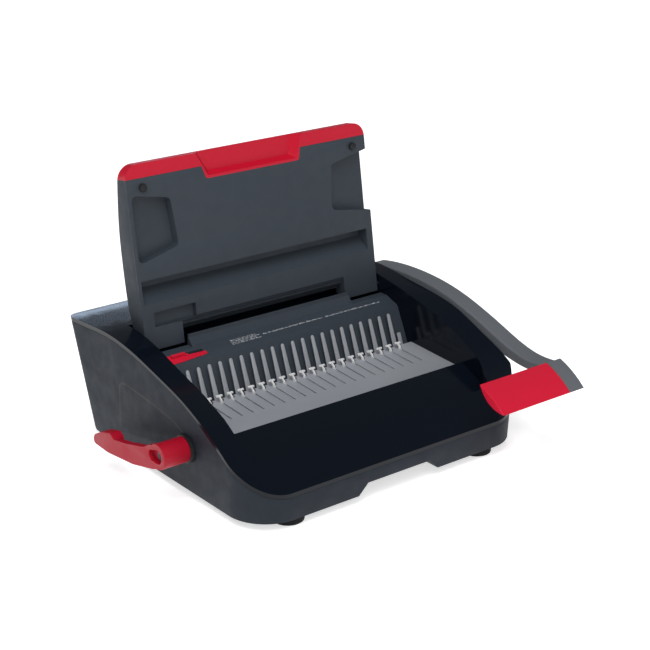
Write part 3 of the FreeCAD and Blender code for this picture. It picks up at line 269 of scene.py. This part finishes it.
def strip_print():
    """Four short lines on the left of the strip, then two long ones."""
    bm = bmesh.new()
    rng = sequence(7)
    for row in range(4):
        word_row(bm, -68, -34 + 3 * (row % 2), 0.66 - row * 0.105, 0.06, 1.0, rng)
    for start in (-24, 66):
        word_row(bm, start, start + 80, 0.50, 0.09, 0.9, rng)
    add_piece("strip_print", bm, M["ink"])


strip_print()


# ---------------------------------------------------------------- dark lines on the left wall: painted shade of its moulded grooves, on narrow raised ribbons
WALL_AT_TABLE, WALL_AT_TOP, WALL_TOP = 188.4, 199.2, 170.0   # half widths of the drafted wall; its height
RIB_FOOT, RIB_LIFT = 0.02, 0.12


def wall_x(z):
    """The left wall of the housing at a height."""
    return -(WALL_AT_TABLE + (WALL_AT_TOP - WALL_AT_TABLE) * z / WALL_TOP)


def smooth_path(points, steps=8):
    """Catmull-Rom points through a list of (y, height) pairs."""
    out = []
    for i in range(len(points) - 1):
        p0, p1 = points[max(i - 1, 0)], points[i]
        p2, p3 = points[i + 1], points[min(i + 2, len(points) - 1)]
        for k in range(steps):
            t = k / steps
            out.append(tuple(0.5 * (2 * b + (c - a) * t + (2 * a - 5 * b + 4 * c - d) * t * t
                                    + (3 * b - a - 3 * c + d) * t ** 3)
                             for a, b, c, d in zip(p0, p1, p2, p3)))
    out.append(tuple(points[-1]))
    return out


def wall_ribbon(name, points, width):
    """A narrow raised line that follows the left wall, higher in its middle; its near-black colour is
    painted shade of a moulded groove.
    """
    path = smooth_path(points)
    profile = ((-0.5, RIB_FOOT), (-0.2, RIB_LIFT), (0.2, RIB_LIFT), (0.5, RIB_FOOT))
    bm = bmesh.new()
    rows = []
    for i, (y, z) in enumerate(path):
        ahead, back = path[min(i + 1, len(path) - 1)], path[max(i - 1, 0)]
        dy, dz = ahead[0] - back[0], ahead[1] - back[1]
        size = math.hypot(dy, dz) or 1.0
        ny, nz = -dz / size, dy / size
        row = []
        for side, out in profile:
            yy, zz = y + ny * width * side, z + nz * width * side
            row.append(bm.verts.new(place(wall_x(zz) - out, yy, zz)))
        rows.append(row)
    for a, b in zip(rows, rows[1:]):
        for k in range(len(profile) - 1):
            bm.faces.new((a[k], a[k + 1], b[k + 1], b[k]))
    bmesh.ops.recalc_face_normals(bm, faces=bm.faces)
    add_piece(name, bm, M["groove_shade"]).data.shade_smooth()


PANEL_LINE = [(66, 36), (61, 66), (57, 88), (52, 94.5), (44, 96.5), (29, 95.8), (-23, 90), (-50, 84.5),
              (-70, 78)]
RING_Y, RING_Z, RING_R = 100, 92, 5.4
RING_LINE = [(RING_Y + RING_R * math.cos(math.radians(a)), RING_Z + RING_R * math.sin(math.radians(a)))
             for a in range(0, 361, 30)]
wall_ribbon("wall_panel_line", PANEL_LINE, 3.4)
wall_ribbon("wall_round_mark", RING_LINE, 1.1)


# ---------------------------------------------------------------- floor, light and camera
FLOOR_HALF = 12
FLOOR_GREY = (0.9, 0.9, 0.9)
FLOOR_GLOW = 0.62                # enough for the floor to read as the photo's white ground


def lay_floor():
    corners = [(-FLOOR_HALF, -FLOOR_HALF, 0), (FLOOR_HALF, -FLOOR_HALF, 0),
               (FLOOR_HALF, FLOOR_HALF, 0), (-FLOOR_HALF, FLOOR_HALF, 0)]
    mesh = bpy.data.meshes.new("floor")
    mesh.from_pydata(corners, [], [(0, 1, 2, 3)])
    floor = bpy.data.objects.new("floor", mesh)
    bpy.context.scene.collection.objects.link(floor)
    m, nt, b = principled("pale_floor", FLOOR_GREY, 0.8, spec=0.1)
    vary_color(nt, b, FLOOR_GREY, noise(nt, 0.6, 2.0), 0.004)
    b.inputs["Emission Color"].default_value = (1, 1, 1, 1)
    b.inputs["Emission Strength"].default_value = FLOOR_GLOW
    floor.data.materials.append(m)


def sun(name, azimuth, elevation, strength, angle):
    """A soft distant lamp that leaves no reflection; azimuth 0 shines from the front, 90 from the right."""
    data = bpy.data.lights.new(name, "SUN")
    data.energy = strength
    data.angle = math.radians(angle)
    o = bpy.data.objects.new(name, data)
    o.visible_glossy = False
    o.rotation_euler = (math.radians(90 - elevation), 0, math.radians(azimuth))
    bpy.context.scene.collection.objects.link(o)


def softbox(name, spot, aim, size, power, tint=(1, 1, 1), glossy=True):
    """A rectangular lamp at a spot, turned toward its aim; glossy says whether surfaces reflect it."""
    data = bpy.data.lights.new(name, "AREA")
    data.shape = "RECTANGLE"
    data.size, data.size_y = size
    data.energy = power
    data.color = tint
    o = bpy.data.objects.new(name, data)
    o.visible_glossy = glossy
    o.location = spot
    o.rotation_euler = (Vector(aim) - Vector(spot)).to_track_quat("-Z", "Y").to_euler()
    bpy.context.scene.collection.objects.link(o)


def dim_world(tint, strength):
    world = bpy.data.worlds.new("studio")
    bpy.context.scene.world = world
    world.use_nodes = True
    background = world.node_tree.nodes["Background"]
    background.inputs["Color"].default_value = (*tint, 1)
    background.inputs["Strength"].default_value = strength


def aim_camera(lens, position, yaw, pitch):
    """A camera looking yaw degrees to the right of +Y and pitch degrees down."""
    data = bpy.data.cameras.new("camera")
    data.lens = lens
    data.sensor_width = 36.0
    o = bpy.data.objects.new("camera", data)
    o.location = position
    o.rotation_euler = (math.radians(90 - pitch), 0, math.radians(-yaw))
    bpy.context.scene.collection.objects.link(o)
    bpy.context.scene.camera = o


lay_floor()
sun("key_sun", -55, 66, 1.5, 40)
softbox("front_fill", (-1.4, -3.2, 2.4), (0, 0, 0.12), (4.2, 2.6), 46)
softbox("rear_strip", (1.25, 2.65, 0.60), (-0.15, 0.1, 0.14), (0.6, 0.24), 1.3, (0.62, 0.78, 1.0))
softbox("top_box", (-0.9, -1.3, 2.6), (0, 0, 0.1), (2.0, 2.0), 22, glossy=False)
dim_world((0.93, 0.96, 1.0), 0.13)
bpy.context.scene.view_settings.view_transform = "Standard"
bpy.context.scene.view_settings.look = "None"
aim_camera(87.66, (-1.0066 + DX, -1.3434 + DY, 0.77205), 38.127, 20.841)
